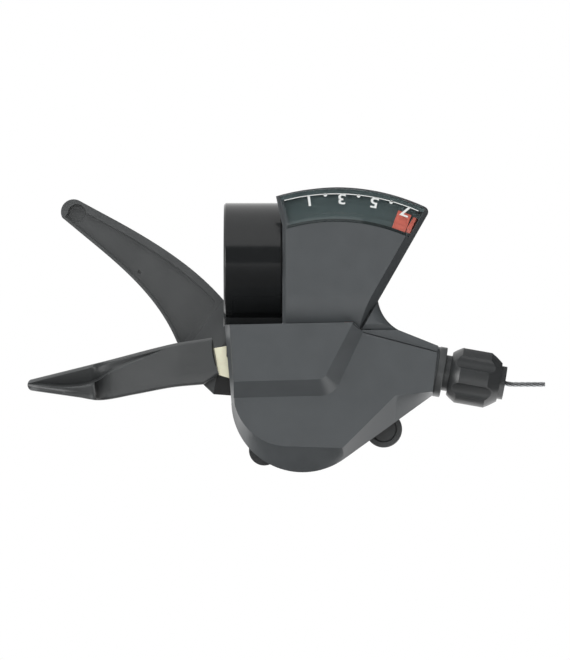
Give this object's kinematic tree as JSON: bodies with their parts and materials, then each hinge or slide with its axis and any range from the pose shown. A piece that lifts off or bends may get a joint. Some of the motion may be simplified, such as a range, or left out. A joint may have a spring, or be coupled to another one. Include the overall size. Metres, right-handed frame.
{
  "type": "trigger gear shifter",
  "caption": "Handlebar trigger shifter: clamp ring, moulded body with fan-shaped gear dial, thumb and finger levers, ratchet drum and a fluted cable adjuster.",
  "frame": {"origin": "centre of the handlebar bore", "axes": "+X along the bar to the cable side, -Y out of the cover, +Z to the rider's side of the dial"},
  "size_m": [0.1245, 0.0426, 0.0683],
  "materials": {
    "band_black": "gloss black paint",
    "cover_grey": "fine satin grain",
    "moulded_black": "satin black moulding",
    "window_clear": "clear polished lens",
    "dial_black": "flat black",
    "needle_red": "bright red",
    "black_steel": "black finished steel",
    "plain_steel": "bright steel",
    "yellow_zinc": "pale yellow zinc plate",
    "bush_brass": "turned",
    "drum_white": "slippery white moulding",
    "spring_steel": "drawn spring steel",
    "cable_steel": "stranded wire"
  },
  "bodies": {
    "root": {"adjuster_collar": "moulded_black", "axle_nut": "plain_steel", "axle_washer": "plain_steel", "base_housing": "moulded_black", "base_plate": "plain_steel", "bracket_screws": "black_steel", "cable_plug": "moulded_black", "clamp_band": "band_black", "clamp_bolt": "black_steel", "clamp_nut": "black_steel", "cover_screws": "black_steel", "drum_spring": "spring_steel", "front_cover": "cover_grey", "hold_pawl_post": "plain_steel", "hold_pawl_spring": "spring_steel", "indicator_base": "dial_black", "indicator_window": "window_clear", "inner_cable": "cable_steel", "lever_bush": "bush_brass", "main_axle": "plain_steel", "main_lever_spring": "spring_steel", "needle_screw": "plain_steel", "upper_housing": "cover_grey"},
    "main_lever": {"main_lever": "moulded_black", "main_lever_plate": "black_steel", "drive_pawl_pin": "plain_steel", "drive_pawl_spring": "spring_steel"},
    "drive_pawl": {"drive_pawl": "plain_steel"},
    "release_lever": {"release_lever": "moulded_black", "release_plate": "yellow_zinc"},
    "hold_pawl": {"hold_pawl": "plain_steel"},
    "drum": {"cable_drum": "drum_white", "ratchet_wheel": "plain_steel"},
    "needle": {"indicator_needle": "needle_red"},
    "detent": {"detent_sleeve": "moulded_black"},
    "adjuster": {"barrel_adjuster": "moulded_black"}
  },
  "joints": [
    {"name": "main_lever_swing", "type": "hinge", "parent": "root", "child": "main_lever", "pos_m": [0.0119, 0, -0.0336], "axis": [0, -1, 0], "range_deg": [0, 40], "stiffness_Nm_per_rad": 0.03, "springref_deg": -20.05, "deforming": ["main_lever_spring"]},
    {"name": "drive_pawl_drop", "type": "hinge", "parent": "main_lever", "child": "drive_pawl", "pos_m": [0.02293, -0.0048, -0.02498], "axis": [0, 1, 0], "range_deg": [-12, 0], "stiffness_Nm_per_rad": 0.001, "springref_deg": 11.46, "deforming": ["drive_pawl_spring"]},
    {"name": "release_lever_swing", "type": "hinge", "parent": "root", "child": "release_lever", "pos_m": [0.0119, 0, -0.0336], "axis": [0, 1, 0], "range_deg": [0, 9], "stiffness_Nm_per_rad": 0.03, "springref_deg": -20.05, "deforming": ["hold_pawl_spring"]},
    {"name": "hold_pawl_lift", "type": "hinge", "parent": "root", "child": "hold_pawl", "pos_m": [0.02725, -0.0048, -0.03576], "axis": [0, -1, 0], "range_deg": [-6, 5]},
    {"name": "drum_turn", "type": "hinge", "parent": "root", "child": "drum", "pos_m": [0.0119, -0.0092, -0.0336], "axis": [0, -1, 0], "range_deg": [0, 80], "stiffness_Nm_per_rad": 0.02, "springref_deg": -28.65, "deforming": ["drum_spring", "inner_cable"]},
    {"name": "needle_swing", "type": "hinge", "parent": "root", "child": "needle", "pos_m": [0.0199, -0.0144, -0.0331], "axis": [0, -1, 0], "range_deg": [-0.5, 28.5]},
    {"name": "detent_slide", "type": "slide", "parent": "root", "child": "detent", "axis": [0.9848, 0, -0.1736], "range_m": [-0.00085, 0.00325]},
    {"name": "adjuster_turn", "type": "hinge", "parent": "detent", "child": "adjuster", "pos_m": [0.05348, -0.0092, -0.02814], "axis": [0.9848, 0, -0.1736], "range_deg": [-360, 1440]}
  ],
  "couplings": [
    {"joint": "hold_pawl_lift", "follows": "release_lever_swing", "ratio": 0.5},
    {"joint": "needle_swing", "follows": "drum_turn", "ratio": 0.35},
    {"joint": "detent_slide", "follows": "adjuster_turn", "m_per_rad": 0.00012732}
  ]
}
